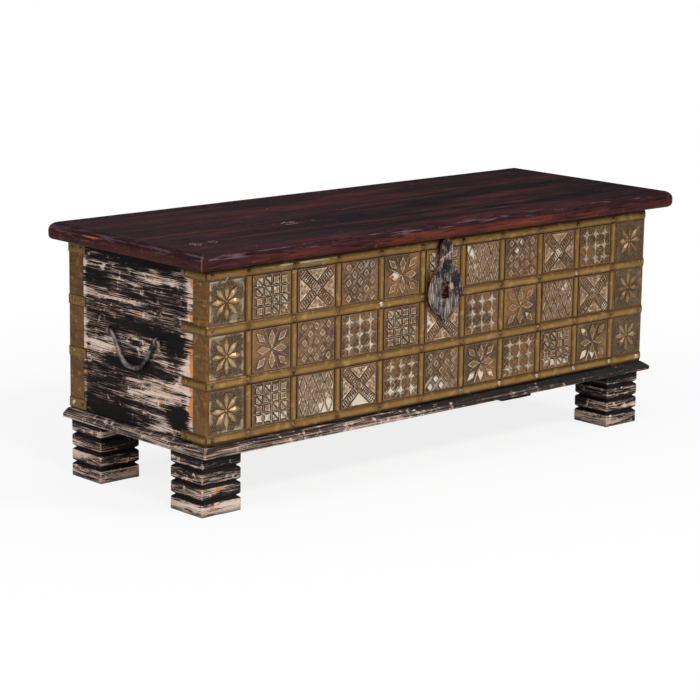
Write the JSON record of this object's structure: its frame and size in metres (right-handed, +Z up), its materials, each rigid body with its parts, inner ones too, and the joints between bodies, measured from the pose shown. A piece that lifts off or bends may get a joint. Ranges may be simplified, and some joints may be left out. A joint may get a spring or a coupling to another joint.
{
  "type": "damchiya chest",
  "caption": "Long low storage chest on ringed block feet, its front of carved tiles in a brass lattice, with a hinged lid, iron hasp and bail handles.",
  "frame": {"origin": "on the floor, below the centre of the lid", "axes": "+X along the chest to the right seen from the front, -Y is the front, +Z up"},
  "size_m": [1.185, 0.432, 0.467],
  "materials": {
    "lid_wood": "dark red-brown stain, satin, worn at the edges",
    "painted_wood": "black paint worn through to cream undercoat and orange wood",
    "bare_wood": "unfinished hardwood",
    "tile_wood": "carved wood, bronzed, its high spots rubbed pale",
    "brass": "aged antique brass",
    "iron": "forged iron, dark with worn rims"
  },
  "bodies": {
    "chest": {"back_bands_left": "brass", "back_bands_right": "brass", "back_panel": "painted_wood", "band_bottom": "brass", "band_lower": "brass", "band_top": "brass", "band_upper": "brass", "beads_row_1": "brass", "beads_row_2": "brass", "beads_row_3": "brass", "carved_tiles_column_1": "tile_wood", "carved_tiles_column_2": "tile_wood", "carved_tiles_column_3": "tile_wood", "carved_tiles_column_4": "tile_wood", "carved_tiles_column_5": "tile_wood", "carved_tiles_column_6": "tile_wood", "carved_tiles_column_7": "tile_wood", "carved_tiles_column_8": "tile_wood", "carved_tiles_column_9": "tile_wood", "corner_sheet_back_left": "brass", "corner_sheet_back_right": "brass", "corner_sheet_front_left": "brass", "corner_sheet_front_right": "brass", "floor_board": "bare_wood", "foot_back_left": "painted_wood", "foot_back_right": "painted_wood", "foot_front_left": "painted_wood", "foot_front_right": "painted_wood", "front_panel": "painted_wood", "handle_eyes_left": "iron", "handle_eyes_right": "iron", "hinge_lower_leaf_left": "iron", "hinge_lower_leaf_right": "iron", "hinge_nails_lower": "iron", "hinge_pin_left": "iron", "hinge_pin_right": "iron", "left_panel": "painted_wood", "moulding_front": "painted_wood", "moulding_left": "painted_wood", "moulding_right": "painted_wood", "nails_bottom": "brass", "nails_lower": "brass", "nails_top": "brass", "nails_upper": "brass", "right_panel": "painted_wood", "staple": "iron"},
    "lid": {"lid_board": "lid_wood", "lid_batten_left": "bare_wood", "lid_batten_right": "bare_wood", "hinge_upper_leaf_left": "iron", "hinge_upper_leaf_right": "iron", "hinge_nails_upper": "iron", "hasp_eye": "iron"},
    "hasp": {"hasp": "iron"},
    "handle_left": {"handle_left": "iron"},
    "handle_right": {"handle_right": "iron"}
  },
  "joints": [
    {"name": "lid_hinge", "type": "hinge", "parent": "chest", "child": "lid", "pos_m": [0, 0.2116, 0.4299], "axis": [-1, 0, 0], "range_deg": [0, 100]},
    {"name": "hasp_swing", "type": "hinge", "parent": "lid", "child": "hasp", "pos_m": [0, -0.1876, 0.4276], "axis": [-1, 0, 0], "range_deg": [0, 100]},
    {"name": "handle_left_swing", "type": "hinge", "parent": "chest", "child": "handle_left", "pos_m": [-0.5601, 0.014, 0.289], "axis": [0, 1, 0], "range_deg": [0, 175]},
    {"name": "handle_right_swing", "type": "hinge", "parent": "chest", "child": "handle_right", "pos_m": [0.5601, 0.014, 0.289], "axis": [0, -1, 0], "range_deg": [0, 175]}
  ]
}
